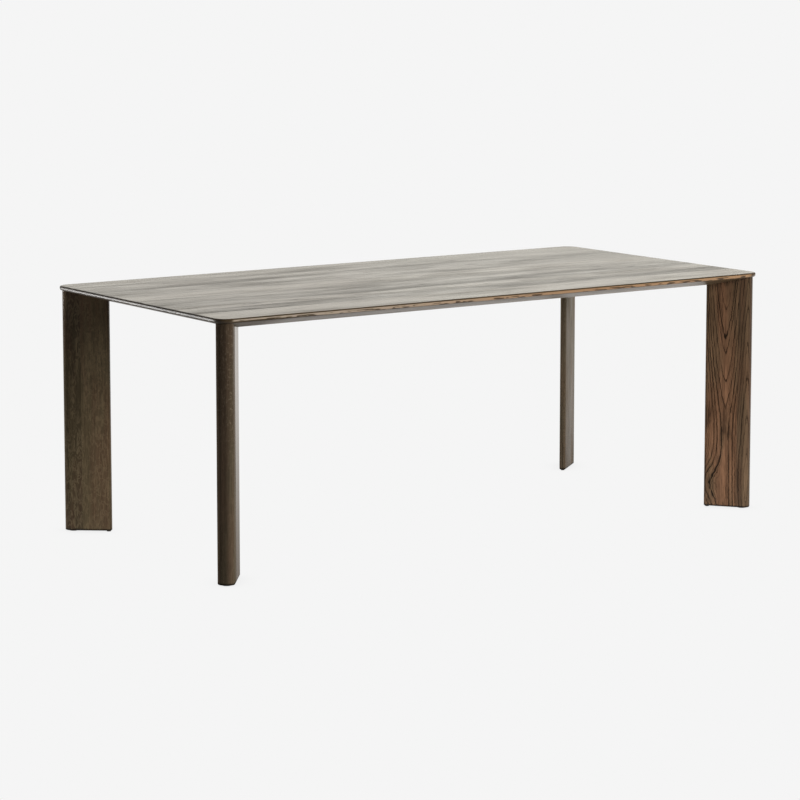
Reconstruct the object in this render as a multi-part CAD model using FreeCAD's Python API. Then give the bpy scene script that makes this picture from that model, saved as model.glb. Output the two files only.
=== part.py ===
import FreeCAD, Part
import math
import os

# Dining table: a boarded oak top with a bevelled underside on four wedge-shaped corner legs.
# Millimetres. +X is the length, +Y the width, +Z up; the origin is on the floor under the middle.

# Whole table
table_length = 2000.0
table_width = 980.0
table_height = 760.0

# Top
top_thickness = 40.0
edge_thickness = 12.0
bevel_width = 100.0
corner_radius = 40.0
bevel_corner_radius = 12.0
edge_round_share = 0.42  # of the edge's thickness, above and below
stave_width_shares = (0.143, 0.084, 0.077, 0.094, 0.097, 0.102, 0.097, 0.102, 0.097, 0.107)  # front to back

# Legs, on the diagonals of the corners
leg_depth = 146.0
leg_nose_thickness = 50.0
leg_inner_thickness = 21.0
leg_nose_radius = 20.0
leg_inner_radius = 8.0
leg_setback = 8.3  # from the rounded corner of the top to the leg's nose
foot_round = 2.5

# Leg plates, in pockets of the underside: a square on the flat and a tongue over the leg
plate_size = 130.0
plate_thickness = 5.0
plate_corner_radius = 10.0
plate_inset = 4.0  # from the bevel to the square's sides
tongue_width = 22.0
tongue_cover = 4.0  # past the line where the bevel reaches the plate's lower face
pocket_depth = 15.0
pocket_clearance = 1.0

# Bolts, washers and threaded inserts of the plates
bolt_diameter = 8.0
bolt_head_diameter = 14.0
bolt_head_height = 4.4
bolt_socket_width = 5.0
bolt_socket_depth = 2.6
bolt_margin = 20.0  # from the plate's edges
bolt_end_gap = 2.0
washer_diameter = 17.0
washer_thickness = 1.6
insert_diameter = 12.0
insert_cover = 9.0  # wood left above the inserts' holes
insert_end_gap = 1.0
thread_clearance = 0.2
hole_clearance = 0.5

# Screws from the plate down into the leg
leg_screw_diameter = 6.0
leg_screw_length = 70.0
leg_screw_head_diameter = 11.0
leg_screw_head_height = 3.0
leg_screw_socket_width = 4.0
leg_screw_socket_depth = 2.0
leg_screw_shares = (0.18, 0.47, 0.76)  # of the leg's length under the plate

# Channels across the underside
bar_width = 40.0
bar_height = 18.0
bar_wall = 3.0
bar_end_gap = 70.0  # from the bevel to the channel's end
bar_clearance = 0.5
bar_place_shares = (-0.3, 0.0, 0.3)  # of the table's length
bar_slot_length = 16.0
bar_slot_shares = (-0.42, -0.15, 0.15, 0.42)  # of the channel's length
bar_screw_diameter = 6.0
bar_screw_length = 28.0
bar_screw_head_diameter = 13.0
bar_screw_head_height = 3.5
bar_screw_socket_width = 4.0
bar_screw_socket_depth = 2.2

# Glides and their nails
glide_height = 3.0
outer_glide_diameter = 30.0
inner_glide_diameter = 13.0
glide_round = 0.8
outer_glide_share = 0.17  # of the leg's depth, from the nose
inner_glide_share = 0.93
nail_diameter = 2.4
nail_length = 18.0
nail_head_diameter = 5.0
nail_head_height = 1.0
nail_point_length = 3.0
nail_sink = 1.0  # of the head, from the glide's lower face

# One overrun for all cuts, and the tolerance that picks level edges
overrun = 5.0
level_tolerance = 0.001

# Levels and slopes that follow from the sizes above
edge_level = table_height - edge_thickness
under_level = table_height - top_thickness
pocket_level = under_level + pocket_depth
plate_level = pocket_level - plate_thickness
bevel_slope = (top_thickness - edge_thickness) / bevel_width
tongue_distance = (edge_level - plate_level) / bevel_slope + tongue_cover
insert_hole_depth = top_thickness - pocket_depth - insert_cover
insert_length = insert_hole_depth - insert_end_gap
bolt_length = washer_thickness + plate_thickness + insert_length - bolt_end_gap
bar_length = table_width - 2 * bevel_width - 2 * bar_end_gap

# Distances along a corner's diagonal, from the point where the top's straight sides would meet
nose_place = corner_radius * (math.sqrt(2) - 1) + leg_setback
leg_end_place = nose_place + leg_depth
plate_place = (bevel_width + plate_inset) * math.sqrt(2)
plate_middle = plate_place + plate_size / math.sqrt(2)
tongue_place = tongue_distance * math.sqrt(2)

up = FreeCAD.Vector(0, 0, 1)
quarter_turn = 90.0

# Corner names, the side of the middle that each is on, and the heading of its diagonal inwards
corners = (
    ("front_left", -1, -1, 45.0),
    ("front_right", 1, -1, 135.0),
    ("back_right", 1, 1, 225.0),
    ("back_left", -1, 1, 315.0),
)


def at_corner(shape, side_x, side_y, heading):
    # moves a shape from the diagonal's own frame, +X inwards, to a corner of the table
    placed = shape.copy()
    corner = FreeCAD.Vector(side_x * table_length / 2, side_y * table_width / 2, 0)
    move = FreeCAD.Placement(corner, FreeCAD.Rotation(up, heading))
    placed.Placement = move.multiply(shape.Placement)
    return placed


def rounded_edges(length, width, radius, level):
    # a level rectangle about the origin: each corner's arc, then the side that follows it
    reach_x = length / 2 - radius
    reach_y = width / 2 - radius
    arcs = []
    for turn, (side_x, side_y) in enumerate(((1, 1), (-1, 1), (-1, -1), (1, -1))):
        centre = FreeCAD.Vector(side_x * reach_x, side_y * reach_y, level)
        start = turn * quarter_turn
        arcs.append(Part.makeCircle(radius, centre, up, start, start + quarter_turn))
    return closed_edges(arcs)


def closed_edges(arcs):
    # arcs joined by straight sides
    edges = []
    for arc, following in zip(arcs, arcs[1:] + arcs[:1]):
        edges.append(arc)
        edges.append(Part.makeLine(arc.Vertexes[-1].Point, following.Vertexes[0].Point))
    return edges


def level_edges(shape, level):
    return [
        edge
        for edge in shape.Edges
        if abs(edge.BoundBox.ZMin - level) < level_tolerance
        and abs(edge.BoundBox.ZMax - level) < level_tolerance
    ]


def turned(profile):
    # a solid of revolution about Z from (radius, height) points
    points = [FreeCAD.Vector(radius, 0, height) for radius, height in profile]
    wire = Part.makePolygon(points + points[:1])
    return Part.Face(wire).revolve(FreeCAD.Vector(), up)


def hexagon_prism(width, level, height):
    # six-sided prism upwards from a level, by its width across flats
    radius = width / math.sqrt(3)
    points = [
        FreeCAD.Vector(radius * math.cos(turn * math.pi / 3), radius * math.sin(turn * math.pi / 3), level)
        for turn in range(7)
    ]
    return Part.Face(Part.makePolygon(points)).extrude(up * height)


def cylinder(diameter, level, height):
    return Part.makeCylinder(diameter / 2, height, FreeCAD.Vector(0, 0, level), up)


def joined(shapes):
    return shapes[0].multiFuse(shapes[1:])


# Top

def make_bevel(outer, inner):
    # flat sides and ruled corners between the edge's outline and the flat of the underside
    faces = [Part.Face(Part.Wire(outer)), Part.Face(Part.Wire(inner))]
    for corner, flat_corner in zip(outer[::2], inner[::2]):
        faces.append(Part.makeRuledSurface(corner, flat_corner))
    for side, flat_side in zip(outer[1::2], inner[1::2]):
        points = [vertex.Point for vertex in side.Vertexes]
        points += [vertex.Point for vertex in reversed(flat_side.Vertexes)]
        faces.append(Part.Face(Part.makePolygon(points + points[:1])))
    shell = Part.Shell(faces)
    shell.sewShape()
    return Part.Solid(shell)


def make_top_blank():
    outer = rounded_edges(table_length, table_width, corner_radius, edge_level)
    inner_length = table_length - 2 * bevel_width
    inner_width = table_width - 2 * bevel_width
    inner = rounded_edges(inner_length, inner_width, bevel_corner_radius, under_level)
    slab = Part.Face(Part.Wire(outer)).extrude(up * edge_thickness)
    blank = slab.fuse(make_bevel(outer, inner)).removeSplitter()
    rims = level_edges(blank, table_height) + level_edges(blank, edge_level)
    return blank.makeFillet(edge_thickness * edge_round_share, rims)


def make_staves(top):
    total = sum(stave_width_shares)
    staves = []
    front = -table_width / 2
    for share in stave_width_shares:
        width = table_width * share / total
        corner = FreeCAD.Vector(-table_length / 2, front, 0)
        board = Part.makeBox(table_length, width, table_height, corner)
        staves.append(top.common(board).Solids[0])
        front += width
    return staves


# Legs

def arc_edge(centre_x, centre_y, radius, start, end):
    # an arc between two headings in degrees
    points = []
    for angle in (start, (start + end) / 2, end):
        across = radius * math.cos(math.radians(angle))
        along = radius * math.sin(math.radians(angle))
        points.append(FreeCAD.Vector(centre_x + across, centre_y + along, 0))
    return Part.Arc(*points).toShape()


def leg_outline():
    # four rounded corners joined by tangents: a wide nose, a thin inner end, tapering sides
    nose_x = nose_place + leg_nose_radius
    nose_y = leg_nose_thickness / 2 - leg_nose_radius
    end_x = leg_end_place - leg_inner_radius
    end_y = leg_inner_thickness / 2 - leg_inner_radius
    lean = math.atan2(end_y - nose_y, end_x - nose_x)
    spread = math.acos((leg_nose_radius - leg_inner_radius) / math.hypot(end_x - nose_x, end_y - nose_y))
    side = math.degrees(lean + spread)
    arcs = [
        arc_edge(end_x, end_y, leg_inner_radius, 0, side),
        arc_edge(nose_x, nose_y, leg_nose_radius, side, 2 * quarter_turn),
        arc_edge(nose_x, -nose_y, leg_nose_radius, 2 * quarter_turn, 4 * quarter_turn - side),
        arc_edge(end_x, -end_y, leg_inner_radius, -side, 0),
    ]
    return Part.Wire(closed_edges(arcs))


def make_leg_blank():
    face = Part.Face(leg_outline())
    face.translate(up * glide_height)
    blank = face.extrude(up * (edge_level - glide_height))
    return blank.makeFillet(foot_round, level_edges(blank, glide_height))


# Leg plates and their fasteners, in the diagonal's frame

def plate_prism(margin, level, height):
    # the plate's outline, grown by a margin, as a prism
    size = plate_size + 2 * margin
    edges = rounded_edges(size, size, plate_corner_radius + margin, level)
    square = Part.Face(Part.Wire(edges)).extrude(up * height)
    square.rotate(FreeCAD.Vector(), up, quarter_turn / 2)
    square.translate(FreeCAD.Vector(plate_middle, 0, 0))
    tip = tongue_place - margin
    width = tongue_width + 2 * margin
    tongue = Part.makeBox(plate_middle - tip, width, height, FreeCAD.Vector(tip, -width / 2, level))
    return joined([square, tongue]).removeSplitter()


def bolt_places():
    # along the two inner sides of the square, clear of the leg
    reach = plate_size / 2 - bolt_margin
    on_plate = ((reach, reach), (reach, 0), (reach, -reach), (0, reach), (-reach, reach))
    return [
        FreeCAD.Vector(plate_middle + (along + across) / math.sqrt(2), (across - along) / math.sqrt(2), 0)
        for along, across in on_plate
    ]


def leg_screw_places():
    length = leg_end_place - tongue_place
    return [FreeCAD.Vector(tongue_place + share * length, 0, 0) for share in leg_screw_shares]


def at_places(shape, places):
    copies = []
    for place in places:
        copy = shape.copy()
        copy.translate(place)
        copies.append(copy)
    return copies


def make_leg_screw():
    # countersunk, head up, flush with the plate's upper face
    radius = leg_screw_diameter / 2
    head_radius = leg_screw_head_diameter / 2
    neck = pocket_level - leg_screw_head_height
    tip = pocket_level - leg_screw_length
    shoulder = tip + leg_screw_diameter
    profile = ((0, tip), (radius, shoulder), (radius, neck), (head_radius, pocket_level), (0, pocket_level))
    return turned(profile)


def make_plate():
    plate = plate_prism(0, plate_level, plate_thickness)
    bolt_hole = cylinder(bolt_diameter + hole_clearance, plate_level - overrun, plate_thickness + 2 * overrun)
    holes = at_places(bolt_hole, bolt_places()) + at_places(make_leg_screw(), leg_screw_places())
    return plate.cut(holes)


def make_insert():
    outside = cylinder(insert_diameter, pocket_level, insert_length)
    return outside.cut(cylinder(bolt_diameter, pocket_level - overrun, insert_length + 2 * overrun))


def make_washer():
    level = plate_level - washer_thickness
    ring = cylinder(washer_diameter, level, washer_thickness)
    return ring.cut(cylinder(bolt_diameter + hole_clearance, level - overrun, washer_thickness + 2 * overrun))


def make_bolt():
    # button head below the washer, shank up into the insert
    seat = plate_level - washer_thickness
    foot = seat - bolt_head_height
    radius = (bolt_diameter - thread_clearance) / 2
    head_radius = bolt_head_diameter / 2
    crown_radius = head_radius - bolt_head_height / 2
    tip = seat + bolt_length
    profile = (
        (0, foot),
        (crown_radius, foot),
        (head_radius, seat - bolt_head_height / 2),
        (head_radius, seat),
        (radius, seat),
        (radius, tip),
        (0, tip),
    )
    socket = hexagon_prism(bolt_socket_width, foot - overrun, overrun + bolt_socket_depth)
    return turned(profile).cut(socket)


# Channels across the underside

def make_bar(margin, drop):
    # web below, flanges up into the wood; the margin and the drop grow it into the cut of its groove
    width = bar_width + 2 * margin
    length = bar_length + 2 * margin
    base = under_level - drop
    shapes = [Part.makeBox(width, length, bar_wall + drop, FreeCAD.Vector(-width / 2, -length / 2, base))]
    flange = bar_wall + 2 * margin
    for side in (-1, 1):
        middle = side * (bar_width - bar_wall) / 2
        corner = FreeCAD.Vector(middle - flange / 2, -length / 2, base)
        shapes.append(Part.makeBox(flange, length, bar_height + margin + drop, corner))
    return joined(shapes).removeSplitter()


def make_slot(level, height):
    # slotted hole along the channel, which lets the boards swell and shrink
    width = bar_screw_diameter + hole_clearance
    straight = bar_slot_length - width
    box = Part.makeBox(width, straight, height, FreeCAD.Vector(-width / 2, -straight / 2, level))
    ends = [
        cylinder(width, level, height).translated(FreeCAD.Vector(0, side * straight / 2, 0))
        for side in (-1, 1)
    ]
    return joined([box] + ends)


def bar_screw_places():
    return [FreeCAD.Vector(0, share * bar_length, 0) for share in bar_slot_shares]


def make_bar_screw():
    # pan head below the web, pointed shank up into the wood
    foot = under_level - bar_screw_head_height
    radius = bar_screw_diameter / 2
    head_radius = bar_screw_head_diameter / 2
    crown_radius = head_radius - bar_screw_head_height / 2
    tip = under_level + bar_screw_length
    profile = (
        (0, foot),
        (crown_radius, foot),
        (head_radius, under_level - bar_screw_head_height / 2),
        (head_radius, under_level),
        (radius, under_level),
        (radius, tip - bar_screw_diameter),
        (0, tip),
    )
    socket = hexagon_prism(bar_screw_socket_width, foot - overrun, overrun + bar_screw_socket_depth)
    return turned(profile).cut(socket)


# Glides

def glide_places():
    return [
        FreeCAD.Vector(nose_place + share * leg_depth, 0, 0)
        for share in (outer_glide_share, inner_glide_share)
    ]


def make_nail():
    # head sunk in the glide, point up into the leg
    head = nail_head_diameter / 2
    radius = nail_diameter / 2
    seat = nail_sink + nail_head_height
    tip = nail_sink + nail_length
    neck = tip - nail_point_length
    return turned(((0, nail_sink), (head, nail_sink), (head, seat), (radius, seat), (radius, neck), (0, tip)))


def make_glide(diameter, nail):
    disc = cylinder(diameter, 0, glide_height)
    disc = disc.makeFillet(glide_round, level_edges(disc, 0))
    well = cylinder(nail_head_diameter, -overrun, overrun + nail_sink)
    return disc.cut([well, nail])


# Whole table

def build():
    pieces = {}
    blank = make_top_blank()
    nail = make_nail()
    nails = at_places(nail, glide_places())
    leg_screws = at_places(make_leg_screw(), leg_screw_places())
    leg_screw_socket = hexagon_prism(
        leg_screw_socket_width, pocket_level - leg_screw_socket_depth, leg_screw_socket_depth + overrun
    )
    driven_screws = at_places(make_leg_screw().cut(leg_screw_socket), leg_screw_places())
    plate = make_plate()
    inserts = at_places(make_insert(), bolt_places())
    washers = at_places(make_washer(), bolt_places())
    bolts = at_places(make_bolt(), bolt_places())
    glides = []
    for diameter, place in zip((outer_glide_diameter, inner_glide_diameter), glide_places()):
        glide = make_glide(diameter, nail)
        glide.translate(place)
        glides.append(glide)

    # what is cut out of the top at each corner, and out of each leg
    pocket = plate_prism(pocket_clearance, under_level - overrun, pocket_depth + overrun)
    insert_hole = cylinder(insert_diameter, pocket_level - overrun, insert_hole_depth + overrun)
    corner_cuts = [pocket] + at_places(insert_hole, bolt_places())
    plate_room = plate_prism(pocket_clearance, plate_level, plate_thickness + overrun)
    leg_blank = make_leg_blank().cut(leg_screws + nails + [plate_room])

    top_cuts = []
    for name, *corner in corners:
        top_cuts += [at_corner(cut, *corner) for cut in corner_cuts]
    bar_screw = make_bar_screw()
    for number, share in enumerate(bar_place_shares, 1):
        place = FreeCAD.Vector(share * table_length, 0, 0)
        screws = at_places(bar_screw, bar_screw_places())
        slots = at_places(make_slot(under_level - overrun, bar_wall + 2 * overrun), bar_screw_places())
        bar = make_bar(0, 0).cut(slots).translated(place)
        groove = make_bar(bar_clearance, overrun).translated(place)
        screws = [screw.translated(place) for screw in screws]
        top_cuts += [groove] + screws
        pieces[f"stiffener_channel_{number}"] = bar
        pieces[f"stiffener_screws_{number}"] = Part.makeCompound(screws)
    top = blank.cut(top_cuts)
    for number, stave in enumerate(make_staves(top), 1):
        pieces[f"top_stave_{number:02d}"] = stave

    for name, *corner in corners:
        pieces[f"leg_{name}"] = at_corner(leg_blank, *corner).cut(top)
        pieces[f"leg_plate_{name}"] = at_corner(plate, *corner)
        pieces[f"outer_glide_{name}"] = at_corner(glides[0], *corner)
        pieces[f"inner_glide_{name}"] = at_corner(glides[1], *corner)
        for kind, group in (
            ("leg_screws", driven_screws),
            ("top_inserts", inserts),
            ("plate_washers", washers),
            ("plate_bolts", bolts),
            ("glide_nails", nails),
        ):
            placed = [at_corner(member, *corner) for member in group]
            pieces[f"{kind}_{name}"] = Part.makeCompound(placed)
    return pieces


os.makedirs("parts", exist_ok=True)
for node, shape in build().items():
    shape.exportStep(f"parts/{node}.step")
    print(node, len(shape.Solids), round(shape.Volume), shape.isValid())
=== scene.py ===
import math
import bpy
from mathutils import Euler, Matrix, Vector


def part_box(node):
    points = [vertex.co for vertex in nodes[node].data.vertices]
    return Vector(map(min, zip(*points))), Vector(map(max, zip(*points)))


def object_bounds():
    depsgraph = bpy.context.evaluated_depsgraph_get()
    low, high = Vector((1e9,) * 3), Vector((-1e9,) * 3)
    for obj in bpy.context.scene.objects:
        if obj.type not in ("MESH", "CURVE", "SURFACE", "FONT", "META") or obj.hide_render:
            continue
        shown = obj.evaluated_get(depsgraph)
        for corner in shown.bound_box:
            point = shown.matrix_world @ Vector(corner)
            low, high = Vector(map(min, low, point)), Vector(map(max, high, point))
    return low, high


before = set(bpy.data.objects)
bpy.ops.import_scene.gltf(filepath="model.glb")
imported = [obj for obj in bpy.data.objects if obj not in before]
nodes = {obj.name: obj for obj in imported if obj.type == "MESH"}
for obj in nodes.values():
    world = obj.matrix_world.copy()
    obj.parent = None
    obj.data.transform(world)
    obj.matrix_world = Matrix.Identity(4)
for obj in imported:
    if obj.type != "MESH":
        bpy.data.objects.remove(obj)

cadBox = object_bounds()  # the construction's own box, before anything is dressed
tableHalf = cadBox[1]  # half length, half width and the height, from the origin on the floor
print("frame loaded:", len(nodes), "nodes")


noiseMiddle = 0.5  # what a noise texture swings about


# shorthand for shader trees
def putNode(tree, kind, **settings):
    node = tree.nodes.new(kind)
    for name, value in settings.items():
        setattr(node, name, value)
    return node


def feed(tree, socket, value):
    if isinstance(value, bpy.types.NodeSocket):
        tree.links.new(value, socket)
    else:
        socket.default_value = value


def calc(tree, operation, first, second=0.0, third=0.0):
    node = putNode(tree, "ShaderNodeMath", operation=operation)
    for socket, value in zip(node.inputs, (first, second, third)):
        feed(tree, socket, value)
    return node.outputs[0]


def vectorCalc(tree, operation, first, second=(0, 0, 0)):
    node = putNode(tree, "ShaderNodeVectorMath", operation=operation)
    feed(tree, node.inputs[0], first)
    feed(tree, node.inputs["Scale"] if operation == "SCALE" else node.inputs[1], second)
    return node.outputs["Value"] if operation in ("LENGTH", "DOT_PRODUCT") else node.outputs[0]


def ramp(tree, value, low, high, toLow=0.0, toHigh=1.0):
    node = putNode(tree, "ShaderNodeMapRange", interpolation_type="SMOOTHSTEP")
    for socket, item in zip(node.inputs, (value, low, high, toLow, toHigh)):
        feed(tree, socket, item)
    return node.outputs[0]


def blendColours(tree, share, first, second):
    node = putNode(tree, "ShaderNodeMix", data_type="RGBA")
    for number, item in ((0, share), (6, first), (7, second)):  # sockets of its colour form
        feed(tree, node.inputs[number], item)
    return node.outputs[2]


def blendValues(tree, share, first, second):
    node = putNode(tree, "ShaderNodeMix", data_type="FLOAT")
    for number, item in ((0, share), (2, first), (3, second)):  # sockets of its number form
        feed(tree, node.inputs[number], item)
    return node.outputs[0]


def noise(tree, vector, detail=2.0, roughness=0.5, distortion=0.0):
    node = putNode(tree, "ShaderNodeTexNoise", noise_dimensions="3D")
    feed(tree, node.inputs["Vector"], vector)
    node.inputs["Scale"].default_value = 1.0
    node.inputs["Detail"].default_value = detail
    node.inputs["Roughness"].default_value = roughness
    node.inputs["Distortion"].default_value = distortion
    return node.outputs


def centred(tree, value):
    return calc(tree, "SUBTRACT", value, noiseMiddle)


def combine(tree, x, y, z):
    node = putNode(tree, "ShaderNodeCombineXYZ")
    for socket, value in zip(node.inputs, (x, y, z)):
        feed(tree, socket, value)
    return node.outputs[0]


def separate(tree, vector):
    node = putNode(tree, "ShaderNodeSeparateXYZ")
    feed(tree, node.inputs[0], vector)
    return node.outputs


def newGroup(name, inputs, outputs):
    group = bpy.data.node_groups.new(name, "ShaderNodeTree")
    for label, kind, value in inputs:
        socket = group.interface.new_socket(label, in_out="INPUT", socket_type="NodeSocket" + kind)
        if value is not None:
            socket.default_value = value
    for label, kind in outputs:
        group.interface.new_socket(label, in_out="OUTPUT", socket_type="NodeSocket" + kind)
    return group, putNode(group, "NodeGroupInput").outputs, putNode(group, "NodeGroupOutput").inputs


def newMaterial(name):
    material = bpy.data.materials.new(name)
    material.use_nodes = True
    tree = material.node_tree
    return material, tree, tree.nodes["Principled BSDF"]


def objectPlace(tree):
    return putNode(tree, "ShaderNodeTexCoord").outputs["Object"]


def dress(name, material):
    nodes[name].material_slots[0].material = material


def tone(colour, share):
    return [share * part for part in colour] + [1]


# oak as a solid: rings round a bowed pith, open pores, rays and slow changes of tone
# the grain runs along the place's z, its x is across the board's face and its y goes into it, in metres
oakGrain = {  # pairs of features per metre are across and along the grain
    "slow": (9, 2.2), "quick": (80, 13), "shiver": (40, 110),
    "quickShare": 0.22, "shiverShare": 0.3,
    "knotSize": (0.05, 0.2, 0.075), "knotShade": 7.0, "bowSoft": 0.05,
    "yearsUneven": 45.0, "yearsReach": 1.2, "yearEnd": (0.92, 1.0), "yearLuck": 0.6,
    "fineLines": 4.0, "fineReach": 0.5, "fineShare": 0.9, "fineFrom": (0.003, 0.013),
    "smears": (42, 9), "smearEdge": (0.42, 0.62), "smearTurn": (0.02, 0.1), "smearStray": 0.2,
    "smearShift": (-0.9, 0, 0), "tipShare": 0.8,
    "pores": (650, 26), "poreEdge": (0.52, 0.64), "poreSpread": 0.25, "poreShade": 0.5,
    "breaks": (300, 16), "breakEdge": (0.25, 0.6), "breakShare": (0.45, 1.1),
    "streaks": (170, 6), "clouds": (26, 2.6), "dashes": (230, 30),
    "warmth": (30, 3.4), "warmthEdge": (0.38, 0.62),
    "rayOut": 60.0, "rayEdge": (0.02, 0.08), "rayClouds": (-0.2, 0.02),
    "fleckEdge": (0.55, 0.66), "fleckFoot": (0.3, 0.55),
    "bands": (18, 3.0), "bandShare": 1.55, "cloudShare": 0.6, "earlyDull": 0.4, "glossLow": 0.15,
    "earlyOpen": 0.7, "earlySink": -0.35, "poreSink": -0.65, "streakRise": 0.3,
}


def makeOakGroup():
    tree, given, result = newGroup(
        "oakSolid",
        [
            ("Place", "Vector", None),
            ("Seed", "Float", 0.0),
            ("Pith Across", "Float", 0.0),
            ("Pith Deep", "Float", -0.05),
            ("Lean Deep", "Float", 0.03),
            ("Lean Skew", "Float", 0.0),
            ("Taper", "Float", 0.0),
            ("Crowd", "Float", 0.0),
            ("Turn", "Float", 0.3),
            ("Knot Place", "Vector", (0, 0, 0)),
            ("Knot Push", "Float", 0.0),
            ("Ring Width", "Float", 0.006),
            ("Early Share", "Float", 0.35),
            ("Ring Contrast", "Float", 0.8),
            ("Wander", "Float", 0.008),
            ("Late Wood", "Color", (0.1, 0.06, 0.035, 1)),
            ("Warm Wood", "Color", (0.12, 0.06, 0.03, 1)),
            ("Early Wood", "Color", (0.03, 0.018, 0.01, 1)),
            ("Ray Colour", "Color", (0.16, 0.11, 0.07, 1)),
            ("Ray Share", "Float", 0.3),
            ("Fleck Share", "Float", 0.2),
            ("Fleck Fade", "Float", 0.0),
            ("Ray Spread", "Float", 90.0),
            ("Ray Rise", "Float", 26.0),
            ("Dash Contrast", "Float", 0.3),
            ("Streak Contrast", "Float", 0.7),
            ("Cloud Contrast", "Float", 0.6),
            ("Smear Share", "Float", 0.0),
            ("Gloss", "Float", 0.72),
        ],
        [("Colour", "Color"), ("Open", "Float"), ("Gloss", "Float"), ("Height", "Float")],
    )
    place = given["Place"]
    seed = given["Seed"]
    seedStep = (3.7, 5.3, 7.1)
    offset = combine(tree, *(calc(tree, "MULTIPLY", seed, step) for step in seedStep))

    def scaled(label):
        across, along = oakGrain[label]
        stretched = vectorCalc(tree, "MULTIPLY", place, (across, across, along))
        return vectorCalc(tree, "ADD", stretched, offset)

    def drift(label, reach):
        swings = noise(tree, scaled(label))["Color"]
        swings = vectorCalc(tree, "SUBTRACT", swings, [noiseMiddle] * 3)
        return vectorCalc(tree, "SCALE", swings, reach)

    def centredNoise(label, **settings):
        return centred(tree, noise(tree, scaled(label), **settings)[0])

    # the rings wander slowly, shiver a little, and swing round a knot
    moved = vectorCalc(tree, "ADD", place, drift("slow", given["Wander"]))
    for label in ("quick", "shiver"):
        reach = calc(tree, "MULTIPLY", given["Wander"], oakGrain[label + "Share"])
        moved = vectorCalc(tree, "ADD", moved, drift(label, reach))
    moved = separate(tree, moved)
    toKnot = vectorCalc(tree, "SUBTRACT", place, given["Knot Place"])
    knotWay = vectorCalc(tree, "LENGTH", vectorCalc(tree, "DIVIDE", toKnot, oakGrain["knotSize"]))
    swing = calc(tree, "EXPONENT", calc(tree, "MULTIPLY", calc(tree, "POWER", knotWay, 2.0), -1.0))
    swing = calc(tree, "MULTIPLY", swing, given["Knot Push"])
    fromTurn = calc(tree, "SUBTRACT", moved[2], given["Turn"])
    bow = calc(tree, "SQRT", calc(tree, "MULTIPLY_ADD", fromTurn, fromTurn, oakGrain["bowSoft"] ** 2))
    bow = calc(tree, "MULTIPLY_ADD", fromTurn, given["Lean Skew"], bow)
    pithDeep = calc(tree, "MULTIPLY_ADD", bow, given["Lean Deep"], given["Pith Deep"])
    across = calc(tree, "SUBTRACT", calc(tree, "SUBTRACT", moved[0], given["Pith Across"]), swing)
    deep = calc(tree, "SUBTRACT", moved[1], pithDeep)
    deepSquare = calc(tree, "MULTIPLY", deep, deep)
    radius = calc(tree, "SQRT", calc(tree, "MULTIPLY_ADD", across, across, deepSquare))
    turn = calc(tree, "ARCTAN2", deep, across)
    crowded = calc(tree, "MULTIPLY_ADD", calc(tree, "MULTIPLY", radius, radius), given["Crowd"], radius)
    grown = calc(tree, "SUBTRACT", crowded, calc(tree, "MULTIPLY", bow, given["Taper"]))

    # years differ in width and strength; the porous early wood is a sharp dark line that fades outwards
    uneven = putNode(tree, "ShaderNodeTexNoise", noise_dimensions="1D")
    feed(tree, uneven.inputs["W"], calc(tree, "MULTIPLY_ADD", grown, oakGrain["yearsUneven"], seed))
    uneven.inputs["Scale"].default_value = 1.0
    years = calc(tree, "DIVIDE", grown, given["Ring Width"])
    years = calc(tree, "MULTIPLY_ADD", uneven.outputs[0], oakGrain["yearsReach"], years)
    part = calc(tree, "FRACT", years)
    luck = putNode(tree, "ShaderNodeTexWhiteNoise", noise_dimensions="1D")
    feed(tree, luck.inputs["W"], calc(tree, "ADD", calc(tree, "FLOOR", years), seed))
    luckShare = oakGrain["yearLuck"]
    strength = calc(tree, "MULTIPLY_ADD", luck.outputs["Value"], luckShare, 1 - luckShare)
    # crowded grows by 1 + 2 * radius * crowd, so the years are that much closer there
    closer = calc(tree, "MULTIPLY_ADD", calc(tree, "MULTIPLY", radius, given["Crowd"]), 2.0, 1.0)
    line = ramp(tree, part, 0.0, calc(tree, "MULTIPLY", given["Early Share"], closer), 1.0, 0.0)
    early = calc(tree, "MAXIMUM", line, ramp(tree, part, *oakGrain["yearEnd"]))
    early = calc(tree, "MULTIPLY", early, strength)
    fine = calc(tree, "MULTIPLY", years, oakGrain["fineLines"])
    fineLuck = putNode(tree, "ShaderNodeTexWhiteNoise", noise_dimensions="1D")
    feed(tree, fineLuck.inputs["W"], calc(tree, "ADD", calc(tree, "FLOOR", fine), seed))
    fineLine = calc(tree, "FRACT", fine)
    fineLine = ramp(tree, fineLine, 0.0, oakGrain["fineReach"], oakGrain["fineShare"], 0.0)
    fineLine = calc(tree, "MULTIPLY", fineLine, fineLuck.outputs["Value"])
    beside = ramp(tree, calc(tree, "ABSOLUTE", across), *oakGrain["fineFrom"])  # none right over the pith
    early = calc(tree, "MULTIPLY", early, ramp(tree, beside, 0.0, 1.0, oakGrain["tipShare"], 1.0))
    early = calc(tree, "MAXIMUM", early, calc(tree, "MULTIPLY", fineLine, beside))

    # pores are short dashes along the grain, thick in the early wood
    pores = ramp(tree, noise(tree, scaled("pores"), detail=1.0)[0], *oakGrain["poreEdge"])
    spread = calc(tree, "MULTIPLY_ADD", early, 1 - oakGrain["poreSpread"], oakGrain["poreSpread"])
    pores = calc(tree, "MULTIPLY", pores, spread)
    breaks = noise(tree, scaled("breaks"))[0]
    breaks = ramp(tree, breaks, *oakGrain["breakEdge"], *oakGrain["breakShare"])
    early = calc(tree, "MULTIPLY", early, breaks)
    streaks = centredNoise("streaks", detail=3.0, roughness=0.6)
    clouds = centredNoise("clouds", roughness=0.55)
    dashes = centredNoise("dashes", roughness=0.6, distortion=0.5)

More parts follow.
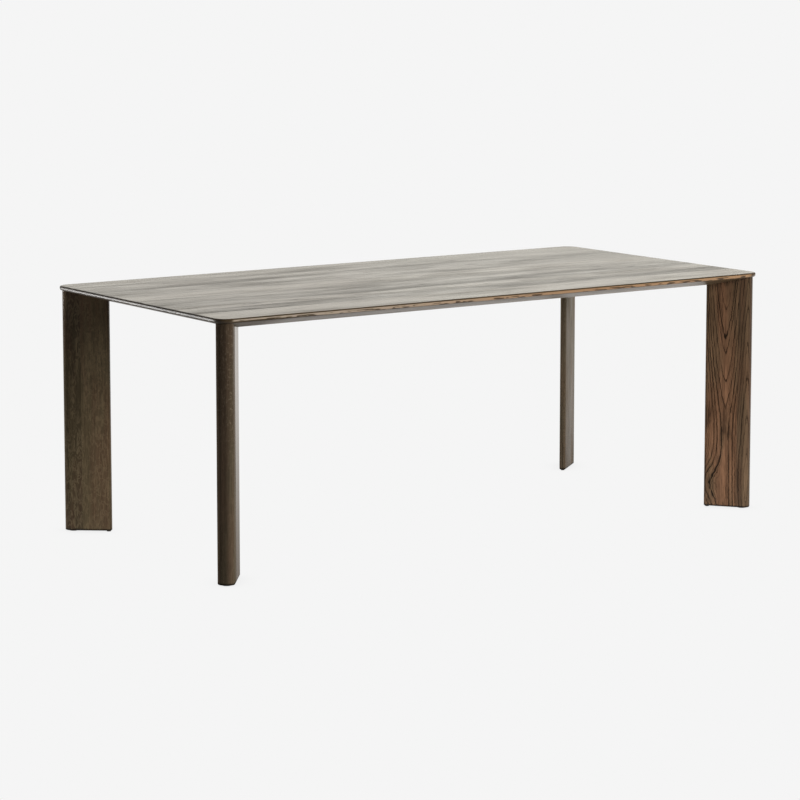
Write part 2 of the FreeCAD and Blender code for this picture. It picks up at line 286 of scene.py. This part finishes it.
    # rays are thin upright plates that point at the pith
    rayPlace = combine(
        tree,
        calc(tree, "MULTIPLY_ADD", turn, given["Ray Spread"], calc(tree, "MULTIPLY", seed, seedStep[0])),
        calc(tree, "MULTIPLY", radius, oakGrain["rayOut"]),
        calc(tree, "MULTIPLY", moved[2], given["Ray Rise"]),
    )
    ray = noise(tree, rayPlace, roughness=0.6, distortion=0.6)[0]
    flecks = calc(tree, "MULTIPLY", ramp(tree, ray, *oakGrain["fleckEdge"]), given["Fleck Share"])
    lowFlecks = calc(tree, "SUBTRACT", 1.0, given["Fleck Fade"])  # what is left of them near the foot
    flecks = calc(tree, "MULTIPLY", flecks, ramp(tree, moved[2], *oakGrain["fleckFoot"], lowFlecks, 1.0))
    thin = calc(tree, "ABSOLUTE", centred(tree, ray))
    rays = calc(tree, "MULTIPLY", ramp(tree, thin, *oakGrain["rayEdge"], 1.0, 0.0), given["Ray Share"])
    rays = calc(tree, "MULTIPLY", rays, ramp(tree, clouds, *oakGrain["rayClouds"]))
    rays = calc(tree, "MAXIMUM", rays, flecks)

    warmth = ramp(tree, noise(tree, scaled("warmth"), detail=1.0)[0], *oakGrain["warmthEdge"])
    colour = blendColours(tree, warmth, given["Late Wood"], given["Warm Wood"])
    darkShare = calc(tree, "MULTIPLY", early, given["Ring Contrast"])
    colour = blendColours(tree, darkShare, colour, given["Early Wood"])
    colour = blendColours(tree, rays, colour, given["Ray Colour"])
    lift = calc(tree, "MULTIPLY_ADD", streaks, given["Streak Contrast"], 1.0)
    lift = calc(tree, "MULTIPLY_ADD", dashes, given["Dash Contrast"], lift)
    lift = calc(tree, "MULTIPLY", lift, calc(tree, "MULTIPLY_ADD", clouds, given["Cloud Contrast"], 1.0))
    lift = calc(tree, "MULTIPLY", lift, calc(tree, "MULTIPLY_ADD", pores, -oakGrain["poreShade"], 1.0))
    smears = vectorCalc(tree, "ADD", scaled("smears"), oakGrain["smearShift"])
    smears = ramp(tree, noise(tree, smears, detail=3.0, roughness=0.6)[0], *oakGrain["smearEdge"])
    atTurn = calc(tree, "ABSOLUTE", fromTurn)
    atTurn = ramp(tree, atTurn, *oakGrain["smearTurn"], 1.0, oakGrain["smearStray"])
    smears = calc(tree, "MULTIPLY", calc(tree, "MULTIPLY", smears, atTurn), given["Smear Share"])
    lift = calc(tree, "MULTIPLY", lift, calc(tree, "SUBTRACT", 1.0, smears))
    lift = calc(tree, "MULTIPLY", lift, calc(tree, "MULTIPLY_ADD", swing, -oakGrain["knotShade"], 1.0))
    feed(tree, result["Colour"], vectorCalc(tree, "SCALE", colour, lift))
    openEarly = calc(tree, "MULTIPLY", early, oakGrain["earlyOpen"])
    feed(tree, result["Open"], calc(tree, "MAXIMUM", openEarly, pores))

    # the lacquer lies even in places and sinks in along soft bands elsewhere
    bands = centredNoise("bands", detail=4.0, roughness=0.6)
    gloss = calc(tree, "MULTIPLY_ADD", bands, oakGrain["bandShare"], given["Gloss"])
    gloss = calc(tree, "MULTIPLY_ADD", clouds, oakGrain["cloudShare"], gloss)
    gloss = calc(tree, "MULTIPLY_ADD", early, -oakGrain["earlyDull"], gloss)
    gloss = calc(tree, "MAXIMUM", gloss, oakGrain["glossLow"])
    feed(tree, result["Gloss"], calc(tree, "MINIMUM", gloss, 1.0))
    height = calc(tree, "MULTIPLY", pores, oakGrain["poreSink"])
    height = calc(tree, "MULTIPLY_ADD", early, oakGrain["earlySink"], height)
    feed(tree, result["Height"], calc(tree, "MULTIPLY_ADD", streaks, oakGrain["streakRise"], height))
    return tree


oakGroup = makeOakGroup()


def boardPlace(tree, location, turn):
    mapping = putNode(tree, "ShaderNodeMapping", vector_type="TEXTURE")
    mapping.inputs["Location"].default_value = location
    mapping.inputs["Rotation"].default_value = [math.radians(angle) for angle in turn]
    feed(tree, mapping.inputs["Vector"], objectPlace(tree))
    return mapping.outputs[0]


def oakBoard(tree, place, values):
    grain = putNode(tree, "ShaderNodeGroup", node_tree=oakGroup)
    feed(tree, grain.inputs["Place"], place)
    for label, value in values.items():
        grain.inputs[label].default_value = value
    return grain.outputs


def finishOak(tree, shader, colour, openPores, gloss, height, finish):
    feed(tree, shader.inputs["Base Color"], colour)
    rough = calc(tree, "MULTIPLY_ADD", openPores, finish["poreRough"], finish["rough"])
    feed(tree, shader.inputs["Roughness"], rough)
    feed(tree, shader.inputs["Coat Weight"], gloss)
    bump = putNode(tree, "ShaderNodeBump")
    bump.inputs["Strength"].default_value = finish["bump"]
    bump.inputs["Distance"].default_value = finish["depth"]
    feed(tree, bump.inputs["Height"], height)
    feed(tree, shader.inputs["Normal"], bump.outputs[0])
    shader.inputs["Coat Roughness"].default_value = finish["coatRough"]
    shader.inputs["Coat IOR"].default_value = finish["coatIor"]
    shader.inputs["Specular IOR Level"].default_value = finish["specular"]


# legs: each on its own corner's diagonal, nose outwards, glued from a nose board and an inner board
legFinish = {
    "rough": 0.45, "poreRough": 0.25, "coatIor": 1.3, "specular": 0.0,
    "bump": 0.35, "depth": 0.0006,
}
footShadowLook = {"low": 0.005, "high": 0.011, "tone": 0.14}  # painted shade: the foot's bottom arris is darkened where the contact shadow falls
noseReach = (0.026, 0.042)  # from the corner along the diagonal, where a nose gets painted shade
endReach = (0.163, 0.169)  # the same for the thin inner end
glueLine = 0.0004
oliveWood, redWood, poreWood = (0.1, 0.071, 0.036), (0.12, 0.072, 0.038), (0.018, 0.011, 0.006)
# per leg, the fade from foot to top, the darker nose and the darker inner end are painted shade
legs = {
    "front_left": {
        "heading": 45, "side": (-1, -1), "glue": 0.078, "coatRough": 0.08,
        "fade": (1.4, 0.95), "paintedNoseShade": 1.0, "paintedEndShade": 1.0,
        "nose": {
            "Seed": 1.0, "Pith Across": 0.23, "Pith Deep": -0.22, "Ring Width": 0.0028,
            "Late Wood": (0.086, 0.069, 0.046, 1), "Warm Wood": (0.093, 0.065, 0.044, 1),
            "Early Wood": tone(poreWood, 1.4), "Ray Colour": (0.24, 0.195, 0.14, 1),
            "Ray Share": 0.0, "Ray Spread": 200.0, "Ray Rise": 110.0,
            "Fleck Share": 0.45, "Fleck Fade": 0.8, "Gloss": 0.25,
            "Streak Contrast": 0.75, "Dash Contrast": 0.3, "Cloud Contrast": 0.3,
        },
        "inner": {
            "Seed": 1.6, "Pith Across": 0.3, "Pith Deep": -0.02, "Ring Width": 0.003,
            "Late Wood": tone(oliveWood, 0.9), "Warm Wood": tone(redWood, 0.8),
            "Ray Share": 0.3, "Gloss": 1.3,
        },
    },
    "front_right": {
        "heading": 135, "side": (1, -1), "glue": 0.068, "coatRough": 0.15,
        "fade": (1.3, 0.78), "paintedNoseShade": 0.65, "paintedEndShade": 1.0,
        "nose": {
            "Seed": 2.0, "Pith Across": 0.038, "Pith Deep": 0.018, "Lean Deep": 0.0, "Taper": -0.08,
            "Turn": 0.1, "Ring Width": 0.0085, "Early Share": 0.3, "Ring Contrast": 1.35, "Wander": 0.014,
            "Late Wood": (0.136, 0.079, 0.047, 1), "Warm Wood": (0.122, 0.079, 0.047, 1),
            "Early Wood": tone(poreWood, 0.9), "Ray Share": 0.0, "Fleck Share": 0.0,
            "Streak Contrast": 1.2, "Dash Contrast": 0.5, "Smear Share": 0.4, "Gloss": 0.85,
        },
        "inner": {
            "Seed": 2.6, "Pith Across": 0.1065, "Pith Deep": 0.012, "Lean Deep": 0.0, "Lean Skew": 0.7,
            "Taper": 0.15, "Crowd": 18.0, "Turn": 0.27, "Ring Width": 0.02, "Early Share": 0.15,
            "Ring Contrast": 1.35, "Wander": 0.014,
            "Knot Place": (0.175, 0, 0.08), "Knot Push": 0.036, "Smear Share": 0.6,
            "Late Wood": (0.184, 0.112, 0.064, 1), "Warm Wood": (0.204, 0.108, 0.061, 1),
            "Early Wood": tone(poreWood, 0.8), "Ray Share": 0.0, "Fleck Share": 0.0,
            "Streak Contrast": 1.8, "Dash Contrast": 0.9, "Gloss": 0.9,
        },
    },
    "back_right": {
        "heading": 225, "side": (1, 1), "glue": 0.09, "coatRough": 0.15,
        "fade": (0.85, 1.2), "paintedNoseShade": 1.0, "paintedEndShade": 1.0,
        "nose": {
            "Seed": 3.0, "Pith Across": 0.1, "Pith Deep": 0.06, "Ring Width": 0.005,
            "Late Wood": (0.094, 0.073, 0.039, 1), "Warm Wood": (0.11, 0.068, 0.036, 1), "Gloss": 0.7,
        },
        "inner": {
            "Seed": 3.6, "Pith Across": 0.3, "Pith Deep": 0.05, "Ring Width": 0.004,
            "Late Wood": (0.113, 0.094, 0.063, 1), "Warm Wood": (0.12, 0.09, 0.06, 1), "Gloss": 0.55,
        },
    },
    "back_left": {
        "heading": 315, "side": (-1, 1), "glue": 0.084, "coatRough": 0.15,
        "fade": (1.0, 1.0), "paintedNoseShade": 1.0, "paintedEndShade": 0.5,
        "nose": {
            "Seed": 4.0, "Pith Across": -0.25, "Pith Deep": 0.0, "Ring Width": 0.0025,
            "Late Wood": (0.108, 0.083, 0.047, 1), "Warm Wood": (0.11, 0.072, 0.043, 1),
            "Early Wood": tone(poreWood, 2.2), "Ray Colour": (0.26, 0.2, 0.12, 1), "Ring Contrast": 0.35,
            "Ray Share": 0.5, "Fleck Share": 0.0, "Dash Contrast": 0.35, "Wander": 0.004, "Gloss": 0.9,
        },
        "inner": {
            "Seed": 4.6, "Pith Across": 0.3, "Pith Deep": 0.0, "Ring Width": 0.0035,
            "Late Wood": (0.178, 0.136, 0.078, 1), "Warm Wood": (0.183, 0.119, 0.07, 1),
            "Early Wood": tone(poreWood, 2.0), "Ray Colour": (0.3, 0.22, 0.13, 1), "Ring Contrast": 0.4,
            "Ray Share": 0.4, "Fleck Share": 0.0, "Dash Contrast": 0.7, "Wander": 0.004, "Gloss": 0.9,
        },
    },
}


def legMaterial(corner, leg):
    material, tree, shader = newMaterial("oakLeg_" + corner)
    cornerPlace = (leg["side"][0] * tableHalf.x, leg["side"][1] * tableHalf.y, 0)
    place = boardPlace(tree, cornerPlace, (0, 0, leg["heading"]))
    inward, _, up = separate(tree, place)
    nose, inner = (oakBoard(tree, place, leg[board]) for board in ("nose", "inner"))
    share = ramp(tree, inward, leg["glue"] - glueLine, leg["glue"] + glueLine)
    colour = blendColours(tree, share, nose["Colour"], inner["Colour"])
    # painted shade: the foot's arris darkened as a contact shadow
    footShade = ramp(tree, up, footShadowLook["low"], footShadowLook["high"], footShadowLook["tone"], 1.0)
    fade = ramp(tree, up, 0.0, tableHalf.z, *leg["fade"])  # painted shade: each leg turns darker or lighter from foot to top, with the top's shadow above and the floor's bounce light below
    # painted shade: the nose darkened where it faces the dark side of the room
    noseShade = ramp(tree, inward, *noseReach, leg["paintedNoseShade"], 1.0)
    # painted shade: the thin inner end darkened
    endShade = ramp(tree, inward, *endReach, 1.0, leg["paintedEndShade"])
    shade = calc(tree, "MULTIPLY", footShade, fade)
    shade = calc(tree, "MULTIPLY", shade, calc(tree, "MULTIPLY", noseShade, endShade))
    colour = vectorCalc(tree, "SCALE", colour, shade)
    surface = [
        blendValues(tree, share, nose[label], inner[label]) for label in ("Open", "Gloss", "Height")
    ]
    finishOak(tree, shader, colour, *surface, {**legFinish, "coatRough": leg["coatRough"]})
    return material


for corner, leg in legs.items():
    dress("leg_" + corner, legMaterial(corner, leg))
print("legs dressed")

# the rim of the top: the long edges are sanded paler, the end grain drinks more stain; the rim's darker
# tone is also painted shade, which leaves dark lines above and below the pale band
rimLook = {
    "cornerRadius": 0.04, "endFrom": -0.048, "endTo": -0.034,
    "reach": 0.006, "reachEdge": (0.4, 1.0), "stainAndShadeTone": 0.42,
    "pale": (0.312, 0.191, 0.105, 1), "paleWithReflection": (0.4, 0.338, 0.27, 1), "paleShare": 0.92,
    "paleFrom": -0.85, "paleTo": 0.35, "paleTop": 0.756, "paleLow": 0.7474, "paleFade": 0.0012,
    "shadeLineFrom": -0.95, "shadeLineTo": -0.6, "shadeLineRise": 0.005,
    "thinCoat": 0.5, "arris": (0.7535, 0.7555), "arrisDull": 0.9, "endGloss": 1.0,
    "lowWaves": (5, 5, 0), "lowReach": 0.004,
    "lines": (9, 9, 700), "lineContrast": 0.65,
    "marks": (22, 22, 160), "markEdge": (0.53, 0.57), "markShare": 0.85, "markTone": 2.0,
    "markTop": 0.7555, "markFade": 0.002,
}


def makeRimGroup():
    tree, given, result = newGroup(
        "topRim",
        [("Place", "Vector", None)],
        [("Rim", "Float"), ("End", "Float")],
    )
    radius = rimLook["cornerRadius"]
    flat = vectorCalc(tree, "MULTIPLY", vectorCalc(tree, "ABSOLUTE", given["Place"]), (1, 1, 0))
    past = vectorCalc(tree, "SUBTRACT", flat, (tableHalf.x - radius, tableHalf.y - radius, 0))
    way = vectorCalc(tree, "LENGTH", vectorCalc(tree, "MAXIMUM", past, (0, 0, 0)))
    inwards = calc(tree, "SUBTRACT", radius, way)  # from the rim
    inwards = calc(tree, "DIVIDE", inwards, rimLook["reach"])
    feed(tree, result["Rim"], ramp(tree, inwards, *rimLook["reachEdge"], 1.0, 0.0))
    lengthwise, crosswise, _ = separate(tree, past)
    turned = calc(tree, "SUBTRACT", lengthwise, crosswise)
    feed(tree, result["End"], ramp(tree, turned, rimLook["endFrom"], rimLook["endTo"]))
    return tree


rimGroup = makeRimGroup()

# staves of the top, front to back
staveFinish = {
    "rough": 0.45, "poreRough": 0.2, "coatRough": 0.27, "coatIor": 1.5, "specular": 0.2,
    "bump": 0.2, "depth": 0.0004,
}
staveTones = (1.3, 0.75, 1.1, 0.7, 0.95, 1.3, 0.95, 0.85, 1.0, 1.15)
staveLook = {  # each pair in a swing is a reach and a step, so that no two boards are alike
    "layTurn": (90, 0, 90),  # degrees: the grain lies along the table, the face up
    "late": (0.125, 0.09, 0.05), "warm": (0.13, 0.085, 0.045), "pore": 1.5,
    "gloss": 0.77, "glossTone": 0.35, "firstSeed": 10.0, "rayShare": 0.1, "pithDeep": -0.05,
    "acrossSwing": (0.02, 2.1), "deepSwing": (0.03, 1.3), "turnSwing": (0.7, 1.7),
}
underLook = {  # the underside has one thin coat only, cut back beside the legs as painted shade
    "low": 0.7465, "high": 0.7485, "gloss": 0.6, "legShadeGloss": 0.1, "legShadeReach": (0.14, 0.28),
}
calmLook = {  # towards the back right corner the lacquer lies more even
    "way": (0.5, 1, 0), "from": 0.1, "to": 0.8, "share": 0.6, "gloss": 0.75,
}


def longEdge(tree, point):
    along, _, height = separate(tree, point)
    waves = noise(tree, vectorCalc(tree, "MULTIPLY", point, rimLook["lowWaves"]))[0]
    # painted shade: the band's lower edge rises towards the left end, leaving a thicker dark line below it
    low = ramp(tree, along, rimLook["shadeLineFrom"], rimLook["shadeLineTo"], rimLook["shadeLineRise"], 0.0)
    low = calc(tree, "ADD", low, rimLook["paleLow"])
    low = calc(tree, "MULTIPLY_ADD", centred(tree, waves), rimLook["lowReach"], low)
    fade = rimLook["paleFade"]
    above = ramp(tree, height, low, calc(tree, "ADD", low, fade))
    below = ramp(tree, height, rimLook["paleTop"], rimLook["paleTop"] + fade, rimLook["paleShare"], 0.0)
    lines = vectorCalc(tree, "MULTIPLY", point, rimLook["lines"])
    lines = centred(tree, noise(tree, lines, detail=3.0, roughness=0.6)[0])
    lines = calc(tree, "MULTIPLY_ADD", lines, rimLook["lineContrast"], 1.0)
    marks = vectorCalc(tree, "MULTIPLY", point, rimLook["marks"])
    marks = noise(tree, marks, roughness=0.6)[0]
    marks = ramp(tree, marks, *rimLook["markEdge"], 0.0, rimLook["markShare"])
    under = ramp(tree, height, rimLook["markTop"] - rimLook["markFade"], rimLook["markTop"], 1.0, 0.0)
    # the pale edge is sanded wood; towards the left end it turns lighter and greyer as a painted
    # reflection
    wood = ramp(tree, along, rimLook["paleFrom"], rimLook["paleTo"])
    wood = blendColours(tree, wood, rimLook["paleWithReflection"], rimLook["pale"])
    marks = calc(tree, "MULTIPLY", marks, under)
    colour = blendColours(tree, marks, wood, tone(poreWood, rimLook["markTone"]))
    return vectorCalc(tree, "SCALE", colour, lines), calc(tree, "MULTIPLY", above, below)


def staveMaterial(name, number, staveTone):
    material, tree, shader = newMaterial("oakStave_%02d" % number)
    low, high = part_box(name)

    def swing(label):
        reach, step = staveLook[label]
        return reach * math.sin(number * step)

    place = boardPlace(tree, (0, (low.y + high.y) / 2, high.z), staveLook["layTurn"])
    grain = oakBoard(tree, place, {
        "Seed": staveLook["firstSeed"] + number,
        "Pith Across": swing("acrossSwing"),
        "Pith Deep": staveLook["pithDeep"] + swing("deepSwing"),
        "Turn": swing("turnSwing"),
        "Gloss": staveLook["gloss"] + staveLook["glossTone"] * (staveTone - 1),
        "Late Wood": tone(staveLook["late"], staveTone),
        "Warm Wood": tone(staveLook["warm"], staveTone),
        "Early Wood": tone(poreWood, staveLook["pore"] * staveTone),
        "Ray Share": staveLook["rayShare"],
    })
    point = objectPlace(tree)
    rim = putNode(tree, "ShaderNodeGroup", node_tree=rimGroup)
    feed(tree, rim.inputs["Place"], point)
    atRim, atEnd = rim.outputs["Rim"], rim.outputs["End"]
    # the rim is darker: stain in the end grain, and painted shade along the long edges' rounded arrises
    colour = vectorCalc(tree, "SCALE", grain["Colour"], ramp(tree, atRim, 0, 1, 1, rimLook["stainAndShadeTone"]))
    side = calc(tree, "MULTIPLY", atRim, calc(tree, "SUBTRACT", 1.0, atEnd))
    pale, paleShare = longEdge(tree, point)
    colour = blendColours(tree, calc(tree, "MULTIPLY", side, paleShare), colour, pale)
    up = separate(tree, point)[2]
    fromCorner = vectorCalc(tree, "SUBTRACT", vectorCalc(tree, "ABSOLUTE", point), tableHalf)
    fromCorner = vectorCalc(tree, "LENGTH", fromCorner)
    # painted shade: less coat near the legs, standing in for the shadow where the legs meet the top
    underGlossAndShade = ramp(tree, fromCorner, *underLook["legShadeReach"], underLook["legShadeGloss"], underLook["gloss"])
    thinCoat = ramp(tree, up, underLook["low"], underLook["high"], underGlossAndShade, 1.0)
    arris = calc(tree, "MULTIPLY", atRim, ramp(tree, up, *rimLook["arris"], 0.0, rimLook["arrisDull"]))
    thinCoat = calc(tree, "MULTIPLY", thinCoat, calc(tree, "SUBTRACT", 1.0, arris))
    thinCoat = calc(tree, "MULTIPLY", thinCoat, ramp(tree, side, 0, 1, 1, rimLook["thinCoat"]))
    calm = vectorCalc(tree, "DOT_PRODUCT", point, calmLook["way"])
    calm = ramp(tree, calm, calmLook["from"], calmLook["to"], 0.0, calmLook["share"])
    gloss = blendValues(tree, calm, grain["Gloss"], calmLook["gloss"])
    end = calc(tree, "MULTIPLY", atRim, atEnd)
    gloss = calc(tree, "MULTIPLY", blendValues(tree, end, gloss, rimLook["endGloss"]), thinCoat)
    openPores, height = (blendValues(tree, end, grain[label], 0.0) for label in ("Open", "Height"))
    finishOak(tree, shader, colour, openPores, gloss, height, staveFinish)
    return material


for number, staveTone in enumerate(staveTones, 1):
    stave = "top_stave_%02d" % number
    dress(stave, staveMaterial(stave, number, staveTone))
print("top dressed")


# metal and plastic: a fine mottle, stray scuffs and a slight unevenness
mottleLook = {
    "scratchShape": (1, 9, 14), "patchEdge": (0.48, 0.62), "scratchEdge": (0.52, 0.64),
    "colourEdge": (0.35, 0.65), "roughEdge": (0.3, 0.7), "depth": 0.0002,
}


def makeMottleGroup():
    tree, given, result = newGroup(
        "fineMottle",
        [("Place", "Vector", None), ("Speckle", "Float", 900.0), ("Scuffs", "Float", 60.0)],
        [("Mottle", "Float"), ("Scuff", "Float"), ("Height", "Float")],
    )
    speckle = vectorCalc(tree, "SCALE", given["Place"], given["Speckle"])
    scuffs = vectorCalc(tree, "SCALE", given["Place"], given["Scuffs"])
    scratches = vectorCalc(tree, "MULTIPLY", scuffs, mottleLook["scratchShape"])
    feed(tree, result["Mottle"], noise(tree, scuffs, detail=3.0, roughness=0.6)[0])
    patches = ramp(tree, noise(tree, scuffs)[0], *mottleLook["patchEdge"])
    scratches = ramp(tree, noise(tree, scratches)[0], *mottleLook["scratchEdge"])
    feed(tree, result["Scuff"], calc(tree, "MULTIPLY", patches, scratches))
    feed(tree, result["Height"], noise(tree, speckle)[0])
    return tree


mottleGroup = makeMottleGroup()
fittings = {
    "blackSteel": {  # powder coat
        "pieces": ("leg_plate", "stiffener_channel"), "metallic": 0.0, "rough": (0.42, 0.6), "bump": 0.25,
        "colours": ((0.014, 0.014, 0.015, 1), (0.024, 0.023, 0.023, 1)), "worn": (0.06, 0.058, 0.055, 1),
    },
    "zincSteel": {
        "pieces": ("leg_screws", "plate_washers", "plate_bolts", "stiffener_screws", "glide_nails"),
        "metallic": 1.0, "rough": (0.24, 0.46), "bump": 0.06,
        "colours": ((0.52, 0.53, 0.55, 1), (0.62, 0.6, 0.54, 1)), "worn": (0.36, 0.35, 0.33, 1),
    },
    "brassInsert": {
        "pieces": ("top_inserts",), "metallic": 1.0, "rough": (0.22, 0.42), "bump": 0.06,
        "colours": ((0.58, 0.4, 0.16, 1), (0.66, 0.48, 0.22, 1)), "worn": (0.4, 0.26, 0.1, 1),
    },
    "glidePlastic": {
        "pieces": ("outer_glide", "inner_glide"), "metallic": 0.0, "rough": (0.4, 0.62), "bump": 0.15,
        "colours": ((0.02, 0.018, 0.016, 1), (0.034, 0.031, 0.028, 1)), "worn": (0.09, 0.085, 0.08, 1),
    },
}


def fittingMaterial(name, look):
    material, tree, shader = newMaterial(name)
    mottle = putNode(tree, "ShaderNodeGroup", node_tree=mottleGroup)
    feed(tree, mottle.inputs["Place"], objectPlace(tree))
    patchy = mottle.outputs["Mottle"]
    colour = blendColours(tree, ramp(tree, patchy, *mottleLook["colourEdge"]), *look["colours"])
    colour = blendColours(tree, mottle.outputs["Scuff"], colour, look["worn"])
    feed(tree, shader.inputs["Base Color"], colour)
    feed(tree, shader.inputs["Roughness"], ramp(tree, patchy, *mottleLook["roughEdge"], *look["rough"]))
    shader.inputs["Metallic"].default_value = look["metallic"]
    bump = putNode(tree, "ShaderNodeBump")
    bump.inputs["Strength"].default_value = look["bump"]
    bump.inputs["Distance"].default_value = mottleLook["depth"]
    feed(tree, bump.inputs["Height"], mottle.outputs["Height"])
    feed(tree, shader.inputs["Normal"], bump.outputs[0])
    return material


for name, look in fittings.items():
    material = fittingMaterial(name, look)
    for node in nodes:
        if node.startswith(look["pieces"]):
            dress(node, material)
print("fittings dressed")

# plain pale floor, evenly bright to the eye but for a painted contact shadow at the feet; as a light it
# grows towards the back right
studioWay = (0.82, 0.57, 0)  # towards the bright side of the studio
white = (1, 1, 1, 1)
floorLook = {
    "size": 60.0, "seen": 0.913, "near": 0.2, "far": 0.95, "from": -2.0, "to": 3.0,
    "colour": (1, 0.975, 0.94, 1), "contactShadow": 0.1, "contactReach": 0.08, "contactSamples": 8,
}
bpy.ops.object.select_all(action="DESELECT")
bpy.ops.mesh.primitive_plane_add(size=floorLook["size"], location=(0, 0, 0))
floor = bpy.context.object
floor.name = "floor"
floorMaterial = bpy.data.materials.new("paleFloor")
floorMaterial.use_nodes = True
floorTree = floorMaterial.node_tree
floorTree.nodes.clear()
seenByEye = putNode(floorTree, "ShaderNodeLightPath").outputs["Is Camera Ray"]
# painted shadow: the floor's glow dims by ambient occlusion close to the feet
contactShadow = putNode(floorTree, "ShaderNodeAmbientOcclusion", samples=floorLook["contactSamples"])
contactShadow.inputs["Distance"].default_value = floorLook["contactReach"]
shaded = floorLook["seen"] * (1 - floorLook["contactShadow"])
seen = ramp(floorTree, contactShadow.outputs["AO"], 0, 1, shaded, floorLook["seen"])
floorWay = vectorCalc(floorTree, "DOT_PRODUCT", objectPlace(floorTree), studioWay)
light = ramp(floorTree, floorWay, floorLook["from"], floorLook["to"], floorLook["near"], floorLook["far"])
glow = putNode(floorTree, "ShaderNodeEmission")
feed(floorTree, glow.inputs["Strength"], blendValues(floorTree, seenByEye, light, seen))
feed(floorTree, glow.inputs["Color"], blendColours(floorTree, seenByEye, floorLook["colour"], white))
feed(floorTree, putNode(floorTree, "ShaderNodeOutputMaterial").inputs["Surface"], glow.outputs[0])
floor.data.materials.append(floorMaterial)

# pale surroundings, dim towards the front left
roomLook = {"seen": 0.913, "near": 0.05, "far": 0.28, "from": -0.7, "to": 0.9}
world = bpy.data.worlds.new("studio")
bpy.context.scene.world = world
world.use_nodes = True
worldTree = world.node_tree
seenByEye = putNode(worldTree, "ShaderNodeLightPath").outputs["Is Camera Ray"]
skyWay = putNode(worldTree, "ShaderNodeTexCoord").outputs["Generated"]
worldWay = vectorCalc(worldTree, "DOT_PRODUCT", skyWay, studioWay)
worldLight = ramp(worldTree, worldWay, roomLook["from"], roomLook["to"], roomLook["near"], roomLook["far"])
backdrop = worldTree.nodes["Background"]
backdrop.inputs["Color"].default_value = white
roomGlow = blendValues(worldTree, seenByEye, worldLight, roomLook["seen"])
feed(worldTree, backdrop.inputs["Strength"], roomGlow)

# soft boxes: bright is the brightness of the face
softBoxes = {
    "backdropLeft": {
        "place": (2.25, 6.85, 1.6), "aim": (-1.75, 1.25, 0.7), "size": (3.7, 3.2),
        "bright": 0.98, "colour": (1, 0.96, 0.85), "mirrored": True,
    },
    "backdropRight": {
        "place": (5.506, 4.525, 1.6), "aim": (1.506, -1.075, 0.7), "size": (4.3, 3.2),
        "bright": 1.12, "colour": (1, 0.972, 0.865), "mirrored": True,
    },
    "key": {
        "place": (1.6, -4.4, 2.1), "aim": (0.2, 0, 0.6), "size": (2.4, 2.0),
        "bright": 16.0, "colour": (1, 0.96, 0.9), "mirrored": False,
    },
    "rim": {
        "place": (-4.0, 4.3, 0.8), "aim": (-0.6, 0, 0.7), "size": (1.2, 1.2),
        "bright": 27.0, "colour": (1, 0.98, 0.96), "mirrored": True,
    },
}
for label, box in softBoxes.items():
    lamp = bpy.data.lights.new(label, "AREA")
    lamp.shape = "RECTANGLE"
    lamp.size, lamp.size_y = box["size"]
    lamp.color = box["colour"]
    lamp.energy = box["bright"] * math.pi * box["size"][0] * box["size"][1]  # watts for that brightness
    softBox = bpy.data.objects.new(label, lamp)
    softBox.location = box["place"]
    aim = Vector(box["aim"]) - Vector(box["place"])
    softBox.rotation_euler = aim.to_track_quat("-Z", "Y").to_euler()
    softBox.visible_camera = False
    softBox.visible_glossy = box["mirrored"]
    bpy.context.scene.collection.objects.link(softBox)

# camera where the photograph was taken from; the small shift keeps the legs nearly upright
view = {
    "place": (-4.9048, -6.996, 1.7727), "heading": 34.7259, "pitch": 6.7877,
    "lens": 124.139, "sensor": 36.0, "shift": -0.15,
}
cameraData = bpy.data.cameras.new("camera")
cameraData.lens = view["lens"]
cameraData.sensor_width = view["sensor"]
cameraData.shift_y = view["shift"]
camera = bpy.data.objects.new("camera", cameraData)
camera.location = view["place"]
camera.rotation_euler = Euler((math.radians(90 - view["pitch"]), 0, math.radians(-view["heading"])), "XYZ")
bpy.context.scene.collection.objects.link(camera)
bpy.context.scene.camera = camera
bpy.context.scene.view_settings.view_transform = "Standard"
print("studio ready")
